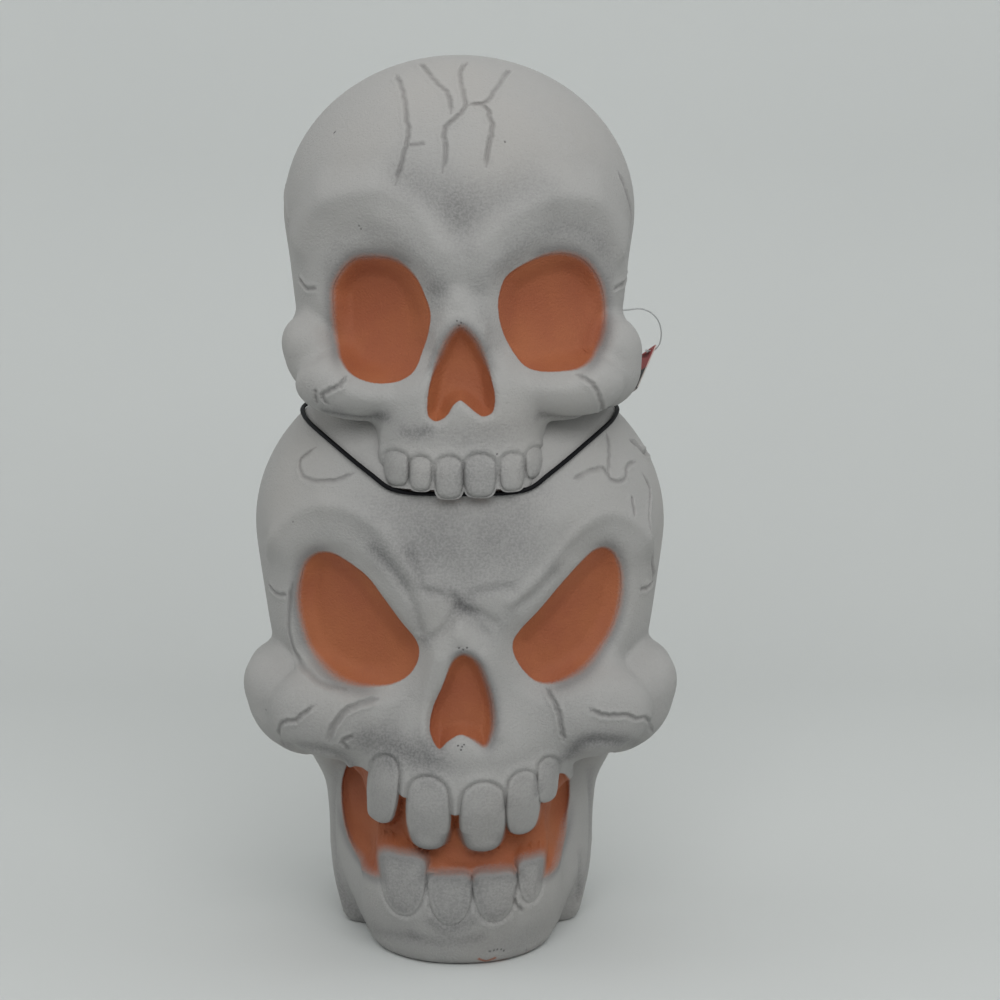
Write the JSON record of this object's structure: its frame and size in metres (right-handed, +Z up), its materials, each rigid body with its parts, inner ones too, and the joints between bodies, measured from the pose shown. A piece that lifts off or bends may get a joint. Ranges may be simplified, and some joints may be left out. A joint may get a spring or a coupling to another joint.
{
  "type": "halloween skull decoration",
  "caption": "Light-up stack of two hollow foam skulls, the upper seated on the crown of the larger lower one, with a lamp in the back, a mains lead wound round the neck and a blank hang tag.",
  "frame": {"origin": "middle of the bottom of the lower skull, on the surface it stands on", "axes": "+Z up, both faces look along -Y, the lamp and its lead come out of the back towards +Y"},
  "size_m": [0.2982, 0.3123, 0.6098],
  "materials": {
    "painted_foam": "moulded orange foam under sprayed off-white and grey paint, left bare in the openings",
    "black_plastic": "fine satin moulding",
    "lead_vinyl": "smooth black vinyl",
    "brass": "plain pressed brass",
    "spring_steel": "zinc-plated",
    "bulb_glass": "clear glass",
    "nylon": "clear nylon thread",
    "tag_card": "coated red card with a plain black foot"
  },
  "bodies": {
    "skulls": {"lower_skull_shell": "painted_foam", "upper_skull_shell": "painted_foam", "lamp_holder": "black_plastic", "spring_clip_left": "spring_steel", "spring_clip_right": "spring_steel", "socket_screw_shell": "brass", "socket_contact": "brass", "strain_relief": "lead_vinyl", "lead_rise": "lead_vinyl", "lead_wrap": "lead_vinyl", "lead_drop": "lead_vinyl", "lead_coil": "lead_vinyl", "switch_base": "black_plastic", "switch_cover": "black_plastic", "switch_screw_left": "spring_steel", "switch_screw_right": "spring_steel", "plug_body": "lead_vinyl", "plug_blade_narrow": "brass", "plug_blade_wide": "brass", "tag_fastener": "nylon"},
    "bulb": {"bulb_cap": "brass", "bulb_contact": "brass", "bulb_glass": "bulb_glass", "bulb_stem": "bulb_glass", "bulb_filament": "spring_steel"},
    "rocker": {"switch_rocker": "black_plastic"},
    "tag": {"tag_card": "tag_card"}
  },
  "joints": [
    {"name": "bulb_turn", "type": "hinge", "parent": "skulls", "child": "bulb", "pos_m": [0, 0.1, 0.3], "axis": [0, 1, 0], "range_deg": [-1080, 0]},
    {"name": "rocker_tilt", "type": "hinge", "parent": "skulls", "child": "rocker", "pos_m": [0.005, 0.13105, 0.0101], "axis": [0, -1, 0], "range_deg": [0, 24]},
    {"name": "tag_swing", "type": "hinge", "parent": "skulls", "child": "tag", "pos_m": [0.1355, 0.021, 0.407], "axis": [0, -1, 0], "range_deg": [0, 75]}
  ]
}
